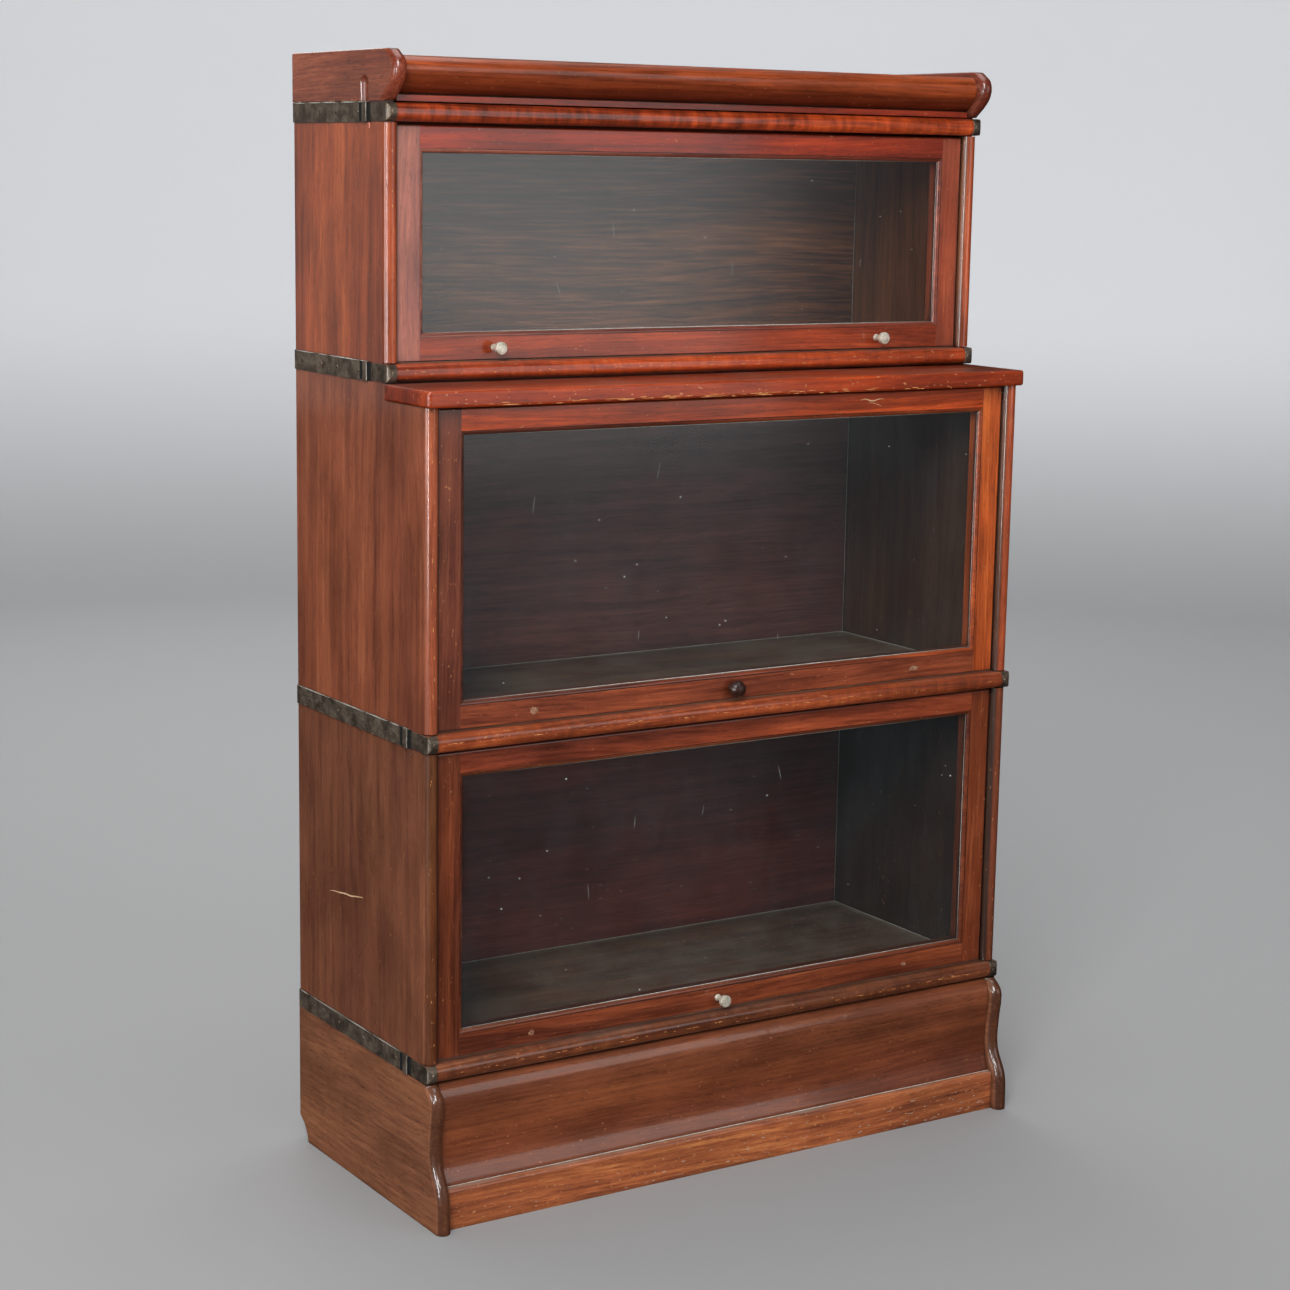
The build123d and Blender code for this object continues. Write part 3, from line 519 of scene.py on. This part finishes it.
def side_scratch(bm):
    """Long pale scratch across the lower left side board."""
    low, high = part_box("lower_side_left")
    start = Vector((low.x, high.y - 88 * MM, low.z + 175 * MM))
    length, rise = 92 * MM, 13 * MM
    points = []
    for i in range(14):
        share = i / 13
        wobble = 0.6 * MM * math.sin(7 * share) + 0.4 * MM * math.sin(17 * share)
        points.append(start + Vector((0, -length * share, rise * share + wobble)))
    stroke(bm, points, -X, 2.9 * MM, 0.12 * MM)
    short = [start + Vector((0, -0.058 - 0.011 * i, 0.0065 + 0.0022 * i)) for i in range(4)]
    stroke(bm, short, -X, 0.9 * MM, 0.12 * MM)


def ledge_wear(bm):
    """Chips along the ledge board's lower front edge and scratches on its top."""
    rng = random.Random(5)
    low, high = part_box("ledge_board")
    for _ in range(70):
        spot = Vector((rng.triangular(-0.41, 0.41, -0.05), low.y, low.z + rng.uniform(1.0, 5.0) * MM))
        length = rng.uniform(2.0, 18.0) * MM
        flake(bm, spot, X, Z, length, rng.uniform(0.4, 1.5) * MM, 0.06 * MM, rng)
    for _ in range(9):
        spot = Vector((rng.uniform(-0.40, 0.36), low.y, low.z + rng.uniform(1.5, 4.0) * MM))
        flake(bm, spot, X, Z, rng.uniform(20, 34) * MM, rng.uniform(0.9, 1.7) * MM, 0.06 * MM, rng,
              points=13)
    for _ in range(14):
        start = Vector((rng.uniform(-0.38, 0.36), rng.uniform(low.y + 0.02, -0.075), high.z))
        run = Vector((rng.uniform(0.02, 0.07), rng.uniform(-0.012, 0.012), 0))
        stroke(bm, [start + run * (i / 5) for i in range(6)], Z, 0.6 * MM, 0.05 * MM)


def rail_wear(bm):
    """Small light chips along the fronts of the rails and under the cornice's left side."""
    rng = random.Random(8)
    for node, count in (("lower_front_rail", 46), ("middle_front_rail", 60), ("top_front_rail", 30)):
        low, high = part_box(node)
        middle = (low.z + high.z) / 2
        for _ in range(count):
            spot = Vector((rng.uniform(-0.41, 0.41), low.y, middle + rng.uniform(-1.5, 1.5) * MM))
            flake(bm, spot, X, Z, rng.triangular(1.5, 15, 3) * MM, rng.uniform(0.5, 1.3) * MM,
                  0.05 * MM, rng)
    low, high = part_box("cornice_sides")
    above_band = low.z + 24.8 * MM
    for _ in range(12):
        spot = Vector((low.x, rng.uniform(0.0, 0.18), above_band + rng.uniform(-0.4, 0.8) * MM))
        flake(bm, spot, Y, -Z, rng.uniform(2, 9) * MM, rng.uniform(0.8, 1.6) * MM, 0.05 * MM, rng)


new_piece("side_scratch", side_scratch, bare_wood, "carcass")
new_piece("ledge_wear_marks", ledge_wear, worn_wood, "carcass")
new_piece("rail_wear_marks", rail_wear, worn_wood, "carcass")


BAND_LEVELS = [("lower_front_rail", "lower_side_left"), ("middle_front_rail", "middle_side_left"),
               ("top_front_rail", "top_side_left"), ("cornice_rail", "top_side_left")]
SCREW_IN = 7.2 * MM          # clip screw inside the rail's end
HOOK_END = 44.0 * MM         # band's front end behind the side board's front edge
HOOK_START = 55.0 * MM       # hook's rear end behind the same edge
HOOK_FACE = 3.6 * MM         # hook's outer face outside the side board
CLIP_END = 36.0 * MM         # corner clip's rear end behind the same edge
BAND_HEIGHT = 23.5 * MM
BAND_FACE = 1.6 * MM         # band's outer face outside the side board


def box_piece(bm, low, high):
    """Plain box between two corners."""
    corners = [bm.verts.new((x, y, z)) for x in (low.x, high.x) for y in (low.y, high.y)
               for z in (low.z, high.z)]
    for a, b, c, d in ((0, 1, 3, 2), (4, 6, 7, 5), (0, 4, 5, 1), (2, 3, 7, 6), (0, 2, 6, 4),
                       (1, 5, 7, 3)):
        bm.faces.new((corners[a], corners[b], corners[c], corners[d]))


def band_places():
    """Each band as side sign, outer face of the board, side's front edge and band's lower edge."""
    for rail, board in BAND_LEVELS:
        board_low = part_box(board)[0]
        rail_low, rail_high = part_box(rail)
        middle = (rail_low.z + rail_high.z) / 2
        for side in (-1, 1):
            yield side, side * abs(board_low.x), board_low.y, middle - BAND_HEIGHT / 2


def hook_slots(bm):
    """Painted shade in the gap before every band's hook, its open front end and the groove behind."""
    for side, face, front, foot in band_places():
        low_z, high_z = foot + 0.9 * MM, foot + BAND_HEIGHT - 0.9 * MM
        parts = ((0.0, 1.0 * MM, CLIP_END, HOOK_END),
                 (0.0, HOOK_FACE - 0.5 * MM, HOOK_END - 1.2 * MM, HOOK_END),
                 (BAND_FACE - 0.2 * MM, BAND_FACE + 0.15 * MM, HOOK_START, HOOK_START + 9.5 * MM))
        for inner, outer, start, end in parts:
            near, far = sorted((face + side * inner, face + side * outer))
            box_piece(bm, Vector((near, front + start, low_z)), Vector((far, front + end, high_z)))


def hook_rims(bm):
    """Bright edge down the front of every hook."""
    for side, face, front, foot in band_places():
        near, far = sorted((face + side * (HOOK_FACE - 0.5 * MM), face + side * HOOK_FACE))
        box_piece(bm, Vector((near, front + HOOK_END - 1.2 * MM, foot + 1.0 * MM)),
                  Vector((far, front + HOOK_END + 0.4 * MM, foot + BAND_HEIGHT - 1.0 * MM)))


def clip_corner_highlights(bm):
    """Painted highlight: bright metal ridge down the rounded corner of every clip."""
    for side, face, front, foot in band_places():
        middle = foot + BAND_HEIGHT / 2
        corner = Vector((face + side * 0.1 * MM, front - 4.1 * MM, middle))
        out = Vector((side, -0.7, 0)).normalized()
        path = [corner + Z * (7.6 * MM * i / 4) for i in range(-4, 5)]
        stroke(bm, path, out, 2.0 * MM, 0.5 * MM)


def band_edge_dust(bm):
    """Broken pale line of dust and old varnish along each band's upper edge."""
    rng = random.Random(14)
    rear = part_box("lower_side_left")[1].y
    for side, face, front, foot in band_places():
        start = rear - 0.004
        while start > front + HOOK_END + 0.012:
            end = max(front + HOOK_END + 0.002, start - rng.uniform(0.015, 0.09))
            path = []
            for i in range(9):
                y = start + (end - start) * i / 8
                path.append(Vector((face + side * BAND_FACE, y, foot + BAND_HEIGHT - 0.6 * MM)))
            stroke(bm, path, side * X, rng.uniform(1.2, 1.9) * MM, 0.12 * MM)
            start = end - rng.uniform(0.002, 0.02)


def base_side_dust(bm):
    """Pale broken line on the base side board just under the lowest band."""
    rng = random.Random(21)
    for side, face, front, foot in band_places():
        if foot > 0.3:
            continue
        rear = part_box("lower_side_left")[1].y
        for _ in range(26):
            y = rng.triangular(front + 0.05, rear - 0.004, rear - 0.01)
            spot = Vector((face, y, foot - rng.uniform(0.4, 1.6) * MM))
            flake(bm, spot, Y, Z * -side, rng.uniform(4, 16) * MM, rng.uniform(0.5, 1.3) * MM,
                  0.1 * MM, rng)


def nose_wear(bm):
    """Small chips on the rounded front edges of the side boards."""
    rng = random.Random(31)
    nose_radius = 9.0 * MM
    for node, count in (("middle_side_left", 44), ("lower_side_left", 16), ("top_side_left", 14),
                        ("middle_side_right", 18), ("lower_side_right", 12), ("top_side_right", 10)):
        low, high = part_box(node)
        axis_x = (low.x + high.x) / 2
        axis_y = low.y + nose_radius
        for _ in range(count):
            turn = rng.uniform(-0.9, 0.3)
            out = Vector((math.sin(turn), -math.cos(turn), 0))
            spot = Vector((axis_x, axis_y, rng.uniform(low.z + 0.03, high.z - 0.03))) + out * nose_radius
            flake(bm, spot, Z, out.cross(Z), rng.uniform(1.5, 9) * MM, rng.uniform(0.5, 1.4) * MM,
                  0.05 * MM, rng)


def plinth_dust(bm):
    """Pale line where the base front board stands on the plinth, and chips along the plinth's edges."""
    rng = random.Random(17)
    low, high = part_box("base_plinth")
    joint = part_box("base_front_board")[0].y - 0.35 * MM
    path = [Vector((low.x + (high.x - low.x) * i / 80, joint - rng.uniform(0.0, 0.5) * MM, high.z))
            for i in range(81)]
    stroke(bm, path, Z, 1.5 * MM, 0.7 * MM)
    for _ in range(90):
        x = rng.triangular(low.x + 0.01, high.x - 0.01, high.x - 0.02)
        z = rng.triangular(low.z + 0.003, high.z - 0.009, low.z + 0.004)
        flake(bm, Vector((x, low.y, z)), X, Z, rng.uniform(1, 9) * MM, rng.uniform(0.4, 1.4) * MM,
              0.05 * MM, rng)


def inside_corner_dust(bm):
    """Pale dust lines along the joints of back, shelf and right side, seen through the glass."""
    rng = random.Random(23)
    for section, foot_width in (("lower", 1.8), ("middle", 1.3), ("top", 0.9)):
        shelf_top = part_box(f"{section}_shelf")[1].z
        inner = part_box(f"{section}_side_right")[0].x
        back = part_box(f"{section}_back")[0].y
        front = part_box(f"{section}_shelf")[0].y
        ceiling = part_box(f"{section}_side_right")[1].z - 0.03
        joints = ((Vector((-inner, back, shelf_top)), Vector((inner, back, shelf_top)), Z, foot_width),
                  (Vector((inner, back, shelf_top)), Vector((inner, front + 0.04, shelf_top)), Z,
                   foot_width),
                  (Vector((inner, back, shelf_top)), Vector((inner, back, ceiling)), -Y, 0.8))
        for start, end, out, width in joints:
            steps = 50
            path = []
            for i in range(steps + 1):
                shift = rng.uniform(0.0, 0.6) * MM
                inset = Vector((-shift if out == -Y else 0.0, -shift if out == Z else 0.0, 0.0))
                path.append(start.lerp(end, i / steps) + inset)
            stroke(bm, path, out, width * MM, 0.5 * MM)


# Bright metal for the fronts of the hooks and for the painted highlights on the clips' corners.
bright_rim = metal("hook_rim_steel", srgb(150, 142, 130), srgb(206, 200, 190), 0.35, 90.0,
                   srgb(220, 214, 204), metallic=0.6)
new_piece("band_hook_slots", hook_slots, dark_slot, "carcass")
new_piece("band_hook_rims", hook_rims, bright_rim, "carcass")
new_piece("clip_corner_highlights", clip_corner_highlights, bright_rim, "carcass")
new_piece("band_edge_dust", band_edge_dust, dust_matter, "carcass")
new_piece("base_side_dust", base_side_dust, dust_matter, "carcass")
new_piece("nose_wear_marks", nose_wear, worn_wood, "carcass")
new_piece("plinth_dust_line", plinth_dust, dust_matter, "carcass")
new_piece("inside_corner_dust", inside_corner_dust, dust_matter, "carcass")


FILLED_HOLES = {"lower": ((-0.284, 9, 8), (0.284, 10, 6)), "middle": ((-0.284, 13, 11), (0.284, 19, 8))}


def knob_hole_fillers(section):
    """Filled holes of two earlier knobs, given as x, length and height in millimetres."""
    def make(bm):
        rng = random.Random(len(section))
        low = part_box(f"{section}_door_rails")[0]
        for x, length, height in FILLED_HOLES[section]:
            spot = Vector((x, low.y, low.z + 12.5 * MM))
            flake(bm, spot, X, Z, length * MM, height * MM, 0.12 * MM, rng, points=16)
    return make


for section in ("lower", "middle"):
    new_piece(f"{section}_filled_knob_holes", knob_hole_fillers(section), filler,
              f"{section}_door")


def door_squiggle(bm):
    """Short wavy scratch on the middle door's top rail."""
    low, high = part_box("middle_door_rails")
    start = Vector((0.185, low.y, high.z - 11 * MM))
    points = []
    for i in range(18):
        share = i / 17
        wave = 1.6 * MM * math.sin(9.0 * share) * (1 - 0.4 * share)
        points.append(start + Vector((0.036 * share, 0, wave)))
    stroke(bm, points, -Y, 2.3 * MM, 0.1 * MM)
    short = [start + Vector((0.012 + 0.004 * i, 0, -0.0032 - 0.0002 * i * i)) for i in range(6)]
    stroke(bm, short, -Y, 0.9 * MM, 0.08 * MM)


new_piece("middle_door_scratch", door_squiggle, bare_wood, "middle_door")


def glass_marks(section, count):
    """Specks and hairline scratches on the front of a pane."""
    def make(bm):
        rng = random.Random(count + len(section))
        low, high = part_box(f"{section}_door_glass")
        for _ in range(count):
            spot = Vector((rng.uniform(low.x + 0.02, high.x - 0.02), low.y,
                           rng.uniform(low.z + 0.012, high.z - 0.02)))
            size = rng.choice((0.9, 1.3, 1.8, 2.9)) * MM
            flake(bm, spot, X, Z, size, size * rng.uniform(0.5, 1.0), 0.04 * MM, rng, points=6)
        for _ in range(4):
            start = Vector((rng.uniform(-0.3, 0.3), low.y, rng.uniform(low.z + 0.03, high.z - 0.06)))
            run = Vector((rng.uniform(-0.006, 0.006), 0, rng.uniform(0.008, 0.022)))
            stroke(bm, [start + run * (i / 4) for i in range(5)], -Y, 0.45 * MM, 0.03 * MM)
    return make


def glass_edge_line(section):
    """Thin pale line along the pane's four edges, widest at the lower edge."""
    def make(bm):
        pane_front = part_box(f"{section}_door_glass")[0].y
        beads_low, beads_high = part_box(f"{section}_door_beads")
        inset = 5.3 * MM     # from the beads' outer edges to just inside the visible pane
        left, right = beads_low.x + inset, beads_high.x - inset
        foot, head = beads_low.z + inset, beads_high.z - inset
        corners = [Vector((left, pane_front, foot)), Vector((right, pane_front, foot)),
                   Vector((right, pane_front, head)), Vector((left, pane_front, head))]
        for a, b, width in zip(corners, corners[1:] + corners[:1], (1.5, 0.9, 0.9, 0.8)):
            rng = random.Random(int(1000 * width))
            parts = 60
            path = []
            for i in range(parts + 1):
                drift = rng.uniform(-0.15, 0.15) * MM
                across = (b - a).normalized().cross(Y)
                path.append(a.lerp(b, i / parts) + across * drift)
            stroke(bm, path, -Y, width * MM, 0.25 * MM)
    return make


def bead_joint(section):
    """Painted shade: dark line where the beads meet the door's rails and stiles."""
    def make(bm):
        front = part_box(f"{section}_door_rails")[0].y
        low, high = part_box(f"{section}_door_beads")
        corners = [Vector((low.x, front, low.z)), Vector((high.x, front, low.z)),
                   Vector((high.x, front, high.z)), Vector((low.x, front, high.z))]
        rng = random.Random(len(section) + 40)
        for a, b in zip(corners, corners[1:] + corners[:1]):
            path = [a.lerp(b, i / 40) + Z * rng.uniform(-0.1, 0.1) * MM for i in range(41)]
            stroke(bm, path, -Y, 0.9 * MM, 0.04 * MM)
    return make


for section, count in (("lower", 46), ("middle", 40), ("top", 34)):
    new_piece(f"{section}_bead_joint", bead_joint(section), dark_slot, f"{section}_door")
    new_piece(f"{section}_glass_specks", glass_marks(section, count), speck_matter,
              f"{section}_door")
    new_piece(f"{section}_glass_edge_line", glass_edge_line(section), dust_matter,
              f"{section}_door")


def floor_dust(section, count):
    """Loose grains on a shelf, thicker towards the back corners."""
    def make(bm):
        rng = random.Random(3 * count)
        low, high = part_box(f"{section}_shelf")
        reach = high.x - 6.5 * MM
        for _ in range(count):
            inward = rng.random() ** 1.6
            x = rng.choice((-1, 1)) * (reach - 0.40 * inward)
            y = high.y - 0.006 - (high.y - low.y - 0.05) * rng.random() ** 1.3
            size = rng.triangular(0.7, 3.0, 0.9) * MM
            flake(bm, Vector((x, y, high.z)), X, Y, size, size * 0.7, 0.25 * MM, rng, points=5)
    return make


for section, count in (("lower", 320), ("middle", 200)):
    new_piece(f"{section}_floor_dust", floor_dust(section, count), speck_matter,
              "carcass")


def screw_slots(bm):
    """Painted shade: dark slot across every clip screw."""
    rng = random.Random(2)
    for node in ("lower_front_rail", "middle_front_rail", "top_front_rail", "cornice_rail"):
        low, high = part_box(node)
        for side in (-1, 1):
            screw_x = side * (high.x - SCREW_IN)
            centre = Vector((screw_x, low.y - 2.2 * MM, (low.z + high.z) / 2))
            turn = rng.uniform(0, math.pi)
            ahead = X * math.cos(turn) + Z * math.sin(turn)
            path = [centre + ahead * (s * 1.6 * MM) for s in (-1, -0.5, 0, 0.5, 1)]
            stroke(bm, path, -Y, 0.9 * MM, 0.08 * MM)


new_piece("clip_screw_slots", screw_slots, dark_slot, "carcass")


# ---- studio -------------------------------------------------------------------------------------
def studio_bowl():
    """Pale floor that sweeps up into a round wall, open at the top."""
    floor_reach = 4.4
    sweep = 1.8
    wall_top = 5.2
    profile = [(0.0, 0.0), (1.5, 0.0), (3.0, 0.0)]
    for i in range(13):
        angle = math.pi / 2 * i / 12
        profile.append((floor_reach + sweep * math.sin(angle), sweep * (1 - math.cos(angle))))
    profile.append((floor_reach + sweep, wall_top))
    turns = 96
    bm = bmesh.new()
    centre = bm.verts.new((0, 0, 0))
    rings = []
    for reach, z in profile[1:]:
        ring = []
        for i in range(turns):
            angle = 2 * math.pi * i / turns
            ring.append(bm.verts.new((reach * math.cos(angle), reach * math.sin(angle), z)))
        rings.append(ring)
    for i in range(turns):
        j = (i + 1) % turns
        bm.faces.new((centre, rings[0][i], rings[0][j]))
        for inner, outer in zip(rings, rings[1:]):
            bm.faces.new((inner[i], outer[i], outer[j], inner[j]))
    mesh = bpy.data.meshes.new("studio_bowl")
    bm.to_mesh(mesh)
    bm.free()
    for polygon in mesh.polygons:
        polygon.use_smooth = True
    g = Graph("studio_paint")
    height = g.part(g.coordinates.outputs["Object"], "Z")
    # Painted light: the paint runs from grey on the floor to pale up the wall, standing for light from
    # above.
    colour = g.mix(g.step(height, -0.15, 0.8), srgb(156, 156, 156), srgb(225, 226, 229))
    mesh.materials.append(g.surface({"Base Color": colour, "Roughness": 0.75}))
    bowl = bpy.data.objects.new("studio_bowl", mesh)
    bowl.visible_glossy = False
    bpy.context.scene.collection.objects.link(bowl)


def soft_light(name, place, aim, size, power, in_gloss=True, in_diffuse=True):
    data = bpy.data.lights.new(name, "AREA")
    data.shape = "RECTANGLE"
    data.size, data.size_y = size
    data.energy = power
    lamp = bpy.data.objects.new(name, data)
    lamp.location = place
    lamp.rotation_mode = "QUATERNION"
    lamp.rotation_quaternion = (Vector(aim) - Vector(place)).to_track_quat("-Z", "Y")
    lamp.visible_camera = False
    lamp.visible_glossy = in_gloss
    lamp.visible_diffuse = in_diffuse
    bpy.context.scene.collection.objects.link(lamp)


studio_bowl()
# Name, place, aim, size in metres and power in watts. The two "shine" lamps give only reflections.
soft_light("key_light", (-2.3, -2.5, 2.9), (0, 0, 0.9), (1.2, 2.0), 110)
soft_light("strip_light", (-3.2, -1.6, 1.5), (0, 0, 1.2), (0.22, 1.4), 12, in_gloss=False)
soft_light("front_light", (1.7, -4.0, 1.78), (0, 0, 1.3), (1.9, 2.5), 21)
soft_light("strip_shine", (-3.2, -1.6, 0.85), (0, 0, 0.85), (0.22, 1.2), 34, in_diffuse=False)
soft_light("window_shine", (-3.3, 0.1, 1.0), (-0.4, -0.1, 1.0), (1.2, 0.9), 18, in_diffuse=False)
soft_light("fill_light", (0.8, -4.2, 1.0), (0, 0, 0.7), (2.2, 1.8), 13, in_gloss=False)
soft_light("side_light", (-2.3, 3.9, 1.7), (0, 0, 1.3), (2.2, 2.3), 3.5)
soft_light("top_light", (0, 0.3, 4.6), (0, 0, 0.0), (3.0, 3.0), 55)
soft_light("back_light", (0.5, 3.9, 3.2), (0, 0, 0.8), (2.4, 2.0), 35)
soft_light("backdrop_light", (0.9, 1.6, 4.4), (3.4, 5.1, 1.4), (2.6, 1.2), 105)

world = bpy.data.worlds.new("studio_world")
bpy.context.scene.world = world
world.use_nodes = True
world.node_tree.nodes["Background"].inputs["Color"].default_value = (0.86, 0.88, 0.90, 1.0)
world.node_tree.nodes["Background"].inputs["Strength"].default_value = 0.25
world.cycles_visibility.glossy = False
bpy.context.scene.view_settings.view_transform = "Standard"


# ---- camera -------------------------------------------------------------------------------------
CAMERA_PLACE = (-1.82385, -2.78715, 1.24907)
CAMERA_YAW = 0.56986         # turned right from +Y, radians
CAMERA_PITCH = -0.18020      # looking down
CAMERA_ROLL = 0.01666
CAMERA_LENS = 73.716

ahead = Vector((math.sin(CAMERA_YAW) * math.cos(CAMERA_PITCH),
                math.cos(CAMERA_YAW) * math.cos(CAMERA_PITCH),
                math.sin(CAMERA_PITCH)))
level = Vector((math.cos(CAMERA_YAW), -math.sin(CAMERA_YAW), 0))
upright = level.cross(ahead)
right = math.cos(CAMERA_ROLL) * level + math.sin(CAMERA_ROLL) * upright
up = -math.sin(CAMERA_ROLL) * level + math.cos(CAMERA_ROLL) * upright
camera_data = bpy.data.cameras.new("photo_camera")
camera_data.sensor_width = 36
camera_data.lens = CAMERA_LENS
camera = bpy.data.objects.new("photo_camera", camera_data)
turn = Matrix((right, up, -ahead)).transposed()
camera.matrix_world = Matrix.Translation(CAMERA_PLACE) @ turn.to_4x4()
bpy.context.scene.collection.objects.link(camera)
bpy.context.scene.camera = camera
